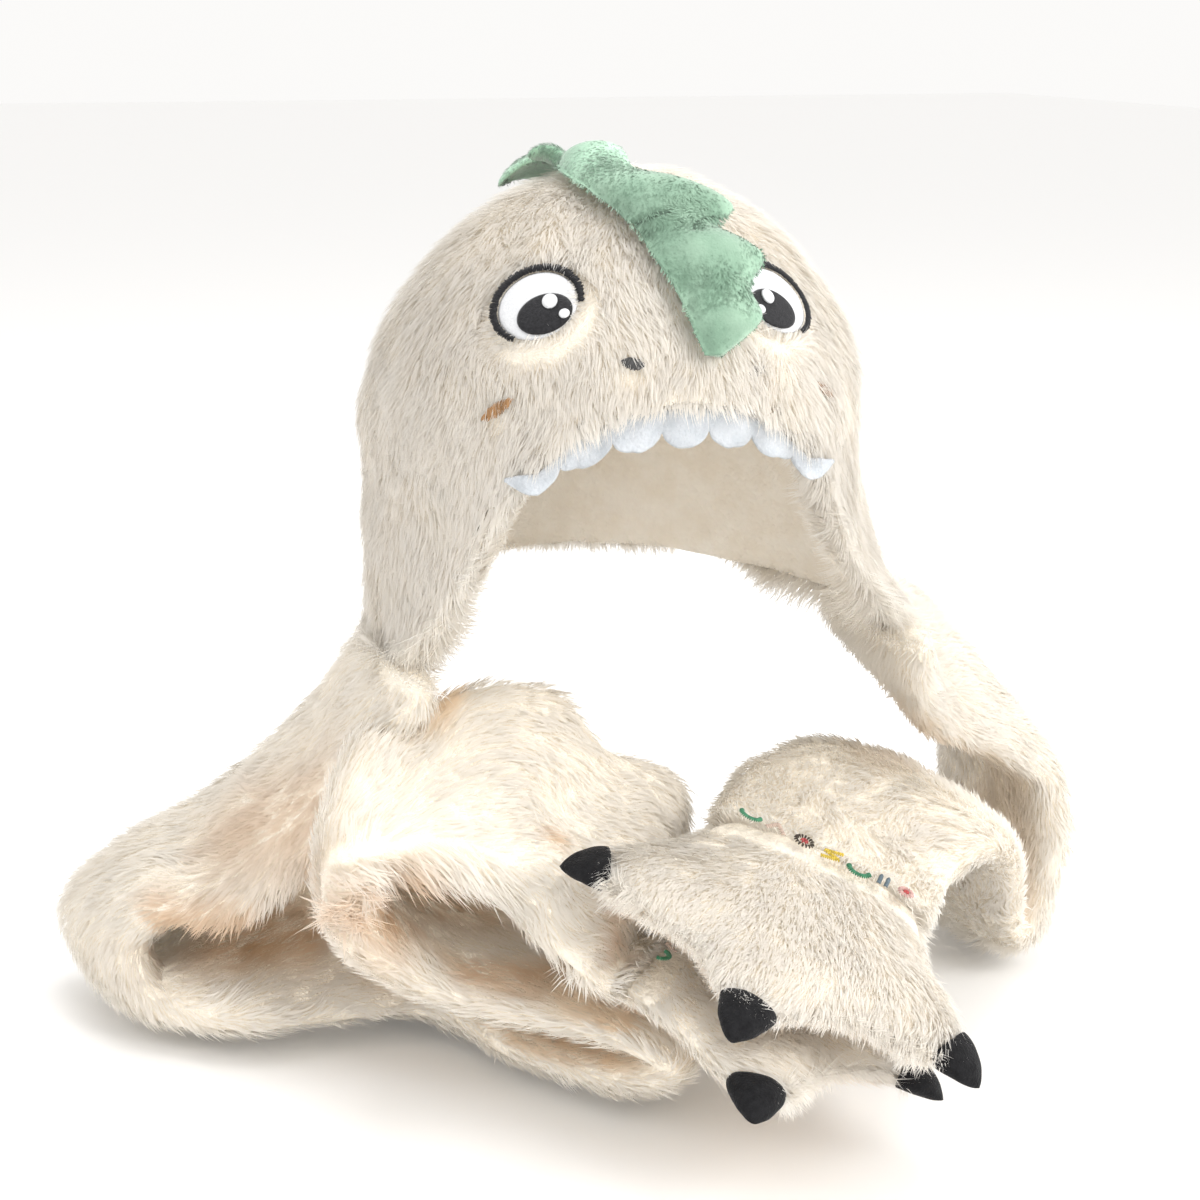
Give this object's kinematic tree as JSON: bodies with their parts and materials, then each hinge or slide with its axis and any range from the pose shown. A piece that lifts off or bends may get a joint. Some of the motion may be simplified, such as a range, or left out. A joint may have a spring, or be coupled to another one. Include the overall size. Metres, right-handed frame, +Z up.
{
  "type": "plush dinosaur hat",
  "caption": "Deep-pile plush dinosaur hood with a soft spiked ridge, an embroidered face and two long scarf arms that end in clawed paws, arranged as worn.",
  "frame": {"origin": "inner top of the crown, where the head carries the hood", "axes": "+Z up through the crown, -Y the way the face looks, +X towards the wearer's left"},
  "size_m": [0.5358, 0.3945, 0.4388],
  "materials": {
    "fur": "deep-pile off-white faux fur",
    "green_plush": "short-nap sage green plush",
    "fleece": "pale grey-white fleece",
    "white_cloth": "white embroidery",
    "black_thread": "black embroidery",
    "black_plush": "short-nap black plush",
    "grey_thread": "grey embroidery",
    "brown_thread": "brown embroidery",
    "green_thread": "green embroidery",
    "cream_thread": "cream embroidery",
    "dark_thread": "dark embroidery with a red centre",
    "yellow_thread": "yellow embroidery",
    "pink_thread": "pink embroidery with a red centre"
  },
  "bodies": {
    "root": {"hood": "fur", "spike_ridge": "green_plush", "tooth_trim": "fleece", "right_eye_white": "white_cloth", "right_eye_outline": "black_thread", "right_pupil": "black_thread", "right_highlight": "white_cloth", "right_small_highlight": "white_cloth", "right_nostril": "grey_thread", "right_cheek_mark": "brown_thread", "left_eye_white": "white_cloth", "left_eye_outline": "black_thread", "left_pupil": "black_thread", "left_highlight": "white_cloth", "left_small_highlight": "white_cloth", "left_nostril": "grey_thread", "left_cheek_mark": "brown_thread", "right_arm": "fur", "right_paw": "fur", "right_claw_1": "black_plush", "right_claw_2": "black_plush", "right_claw_3": "black_plush", "right_green_arc": "green_thread", "right_cream_vee": "cream_thread", "right_dark_dot": "dark_thread", "right_yellow_wave": "yellow_thread", "right_green_bow": "green_thread", "right_grey_bar": "grey_thread", "right_pink_dot": "pink_thread", "left_arm": "fur", "left_paw": "fur", "left_claw_1": "black_plush", "left_claw_2": "black_plush", "left_claw_3": "black_plush", "left_green_arc": "green_thread", "left_cream_vee": "cream_thread", "left_dark_dot": "dark_thread", "left_yellow_wave": "yellow_thread", "left_green_bow": "green_thread", "left_grey_bar": "grey_thread", "left_pink_dot": "pink_thread"}
  },
  "joints": []
}
